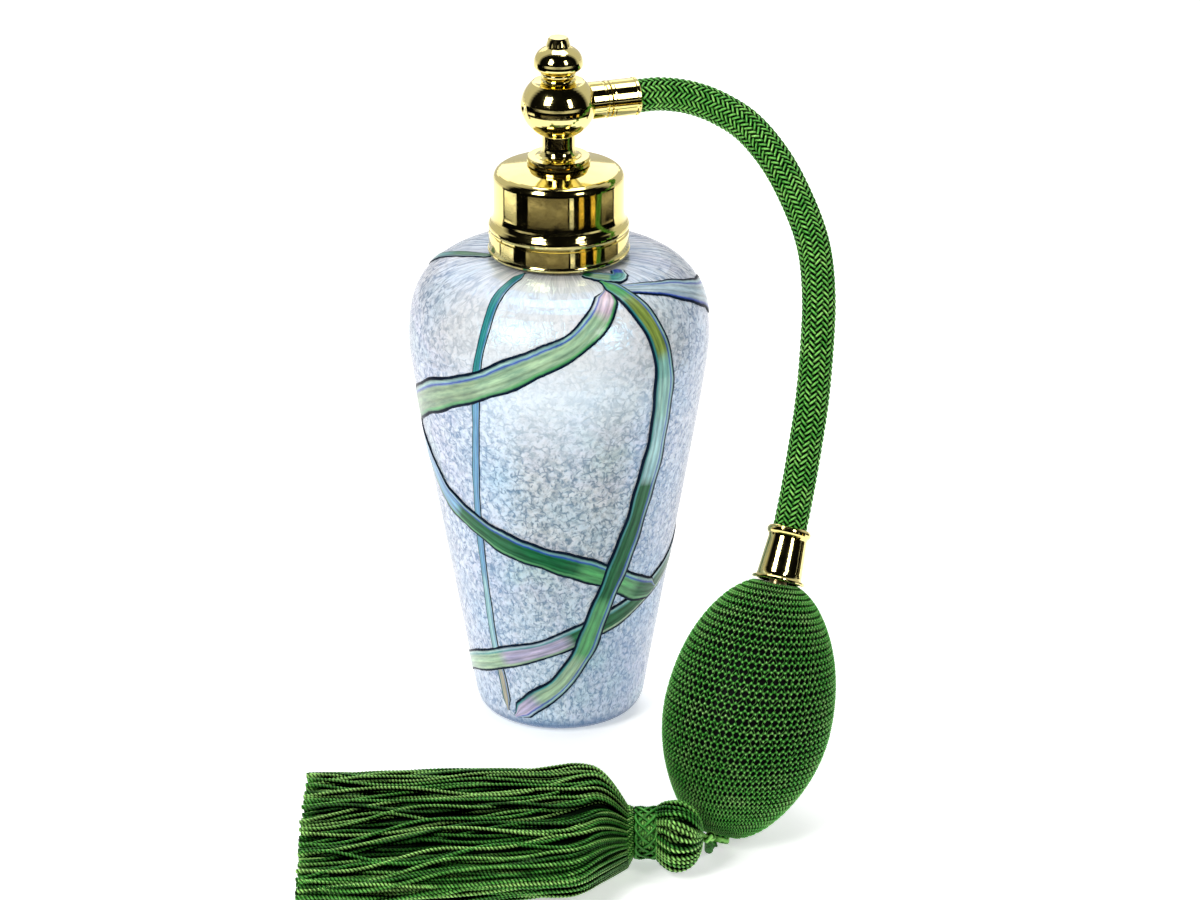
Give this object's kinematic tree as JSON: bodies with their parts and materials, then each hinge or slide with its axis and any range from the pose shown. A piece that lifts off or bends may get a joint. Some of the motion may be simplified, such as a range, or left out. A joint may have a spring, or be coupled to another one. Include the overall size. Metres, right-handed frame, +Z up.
{
  "type": "perfume atomiser",
  "caption": "Tapered art-glass perfume bottle with a gilt screw collar and spray head, a braided hose, a netted squeeze bulb and a silk tassel.",
  "frame": {"origin": "centre of the flat under the bottle, on the table", "axes": "+Z up the bottle's axis, -Y towards the front where the bulb and tassel lie, +X towards the hose"},
  "size_m": [0.116, 0.1514, 0.161],
  "materials": {
    "opal_glass": "gloss, white frit with an iridescent surface and green and blue trails",
    "gilt": "polished gold plate",
    "plain_brass": "turned, unplated",
    "steel": "ground",
    "seal": "matte",
    "liner": "moulded",
    "siphon": "translucent",
    "braid": "braided rayon, sheen",
    "net": "knotted rayon net",
    "silk": "twisted rayon cord, sheen",
    "bulb_rubber": "matte"
  },
  "bodies": {
    "bottle": {"bottle_glass": "opal_glass", "neck_ring": "plain_brass"},
    "gasket": {"neck_gasket": "seal"},
    "head": {"spray_head_body": "gilt", "clamp_plate": "plain_brass", "head_flange": "gilt", "siphon_tube": "siphon", "nozzle_insert": "gilt", "gland_nut": "gilt"},
    "collar": {"collar_shell": "gilt", "collar_liner": "liner"},
    "needle": {"closing_needle": "steel"},
    "finial": {"finial_knob": "gilt"},
    "bulb": {"hose_spigot": "gilt", "head_ferrule": "gilt", "air_hose": "braid", "bulb_ferrule": "gilt", "bulb_spigot": "plain_brass", "rubber_bulb": "bulb_rubber", "net_cover": "net", "outlet_valve_cage": "plain_brass", "intake_valve_body": "plain_brass", "net_tie": "braid"},
    "outlet_ball": {"outlet_valve_ball": "steel"},
    "intake_ball": {"intake_valve_ball": "steel"},
    "link": {"tassel_link": "silk"},
    "tassel": {"tassel_knot": "silk", "tassel_head": "silk", "tassel_binding": "silk", "tassel_skirt": "silk"}
  },
  "joints": [
    {"name": "head_pull_off", "type": "slide", "parent": "bottle", "child": "gasket", "axis": [0, 0, 1], "range_m": [0, 0.12]},
    {"name": "thread_rise", "type": "slide", "parent": "gasket", "child": "head", "axis": [0, 0, 1], "range_m": [0, 0.0031]},
    {"name": "collar_turn", "type": "hinge", "parent": "head", "child": "collar", "pos_m": [0, 0, 0.12], "axis": [0, 0, 1], "range_deg": [0, 540]},
    {"name": "needle_rise", "type": "slide", "parent": "head", "child": "needle", "axis": [0, 0, 1], "range_m": [0, 0.0007]},
    {"name": "finial_turn", "type": "hinge", "parent": "needle", "child": "finial", "pos_m": [0, 0, 0.155], "axis": [0, 0, 1], "range_deg": [0, 360]},
    {"name": "hose_swivel", "type": "hinge", "parent": "head", "child": "bulb", "pos_m": [0.01091, 0.00365, 0.1454], "axis": [-0.9483, -0.3173, 0], "range_deg": [0, 50]},
    {"name": "outlet_valve_lift", "type": "slide", "parent": "bulb", "child": "outlet_ball", "axis": [0.2231, 0.4575, 0.8607], "range_m": [0, 0.0005]},
    {"name": "intake_valve_lift", "type": "slide", "parent": "bulb", "child": "intake_ball", "axis": [0.2231, 0.4575, 0.8607], "range_m": [0, 0.0005]},
    {"name": "tassel_yaw", "type": "hinge", "parent": "bulb", "child": "link", "pos_m": [0.033, -0.0782, 0.0015], "axis": [0, 0, 1], "range_deg": [-12, 30]},
    {"name": "tassel_pitch", "type": "hinge", "parent": "link", "child": "tassel", "pos_m": [0.0326, -0.0859, 0.0076], "axis": [0, 1, 0], "range_deg": [0, 24]}
  ],
  "couplings": [
    {"joint": "thread_rise", "follows": "collar_turn", "m_per_rad": 0.00031831},
    {"joint": "finial_turn", "follows": "needle_rise", "rad_per_m": 8975}
  ]
}
